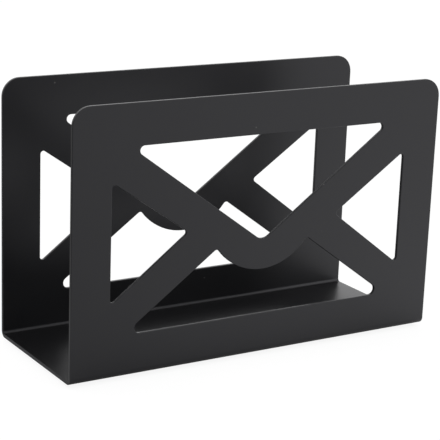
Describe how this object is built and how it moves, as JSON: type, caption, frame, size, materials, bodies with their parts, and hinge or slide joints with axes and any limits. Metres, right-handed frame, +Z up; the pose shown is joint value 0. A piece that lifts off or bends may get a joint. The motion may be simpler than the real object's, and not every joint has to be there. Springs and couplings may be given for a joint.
{
  "type": "letter holder",
  "caption": "Desk letter holder folded in a U from sheet steel, with envelope-shaped cut-outs in front and back panel, standing on stick-on pads.",
  "frame": {"origin": "on the desk surface, under the middle of the holder", "axes": "+X along the width, to the right seen from the front; -Y is the side that the front panel faces; +Z up"},
  "size_m": [0.18, 0.0676, 0.1159],
  "materials": {
    "coated_steel": "satin black powder coat with a fine texture",
    "pad_rubber": "matt black",
    "adhesive_tape": "milky double-sided tape"
  },
  "bodies": {
    "root": {"folded_sheet": "coated_steel", "pad_front_left": "pad_rubber", "pad_front_right": "pad_rubber", "pad_back_left": "pad_rubber", "pad_back_right": "pad_rubber", "tape_front_left": "adhesive_tape", "tape_front_right": "adhesive_tape", "tape_back_left": "adhesive_tape", "tape_back_right": "adhesive_tape"}
  },
  "joints": []
}
